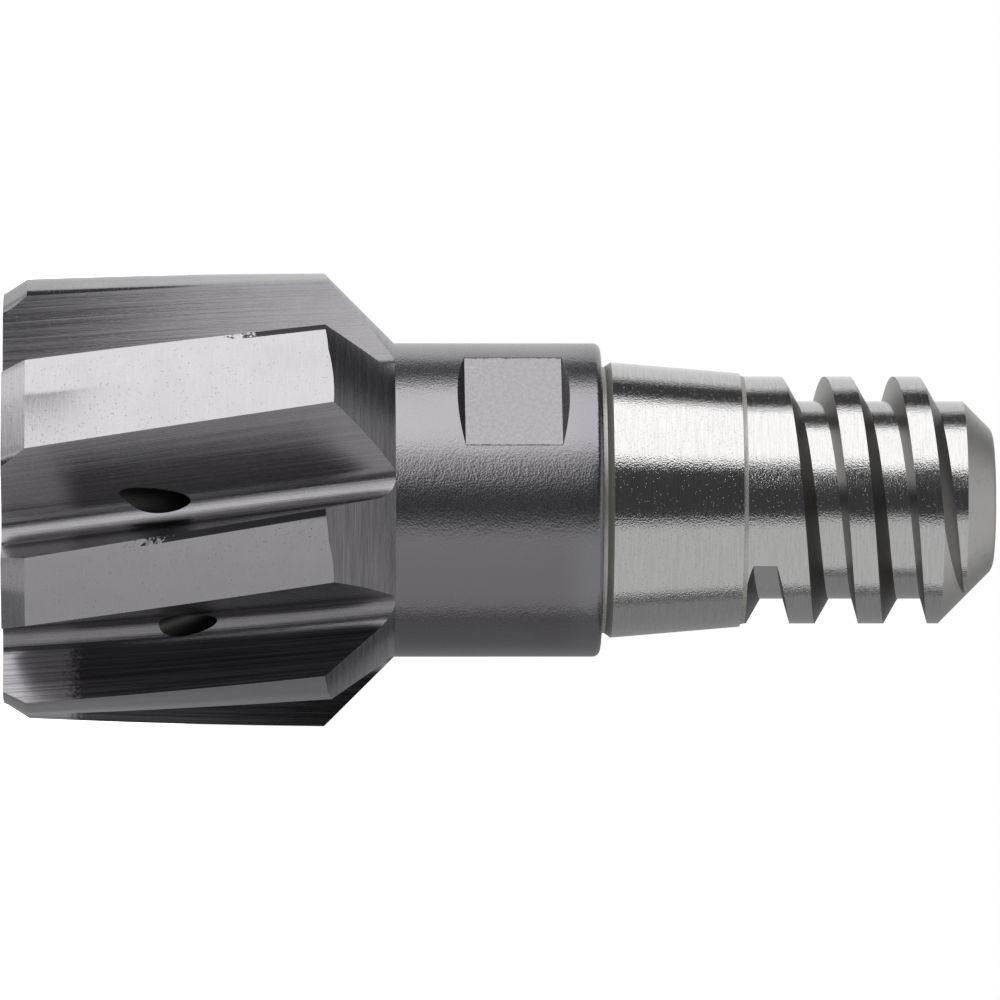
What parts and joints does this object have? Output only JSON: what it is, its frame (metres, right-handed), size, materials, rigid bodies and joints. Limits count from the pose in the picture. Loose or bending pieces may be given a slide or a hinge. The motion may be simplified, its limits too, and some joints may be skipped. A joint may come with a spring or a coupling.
{
  "type": "face mill head",
  "caption": "Solid carbide face milling head with helical teeth at unequal spacing, coolant outlets, a spanner neck, and a rear taper and coarse thread that screw into a holder.",
  "frame": {"origin": "centre of the flat cutting end, on the tool axis; the head stands on its teeth", "axes": "+Z along the tool axis from the cutting end to the coupling; -Y and +Y are the outward normals of the two spanner flats"},
  "size_m": [0.025, 0.025, 0.0545],
  "materials": {
    "coated_teeth": "dark violet-grey hard coating over finely ground carbide",
    "coated_body": "dark violet-grey hard coating over as-sintered carbide, satin",
    "ground_carbide": "bare carbide, fine circumferential grinding",
    "thread_carbide": "bare carbide, ground crests with matte as-sintered flanks and end chamfer"
  },
  "bodies": {
    "root": {"hub": "coated_teeth", "neck": "coated_body", "locating_taper": "ground_carbide", "threaded_end": "thread_carbide", "tooth_1": "coated_teeth", "tooth_2": "coated_teeth", "tooth_3": "coated_teeth", "tooth_4": "coated_teeth", "tooth_5": "coated_teeth", "tooth_6": "coated_teeth", "tooth_7": "coated_teeth", "tooth_8": "coated_teeth"}
  },
  "joints": []
}
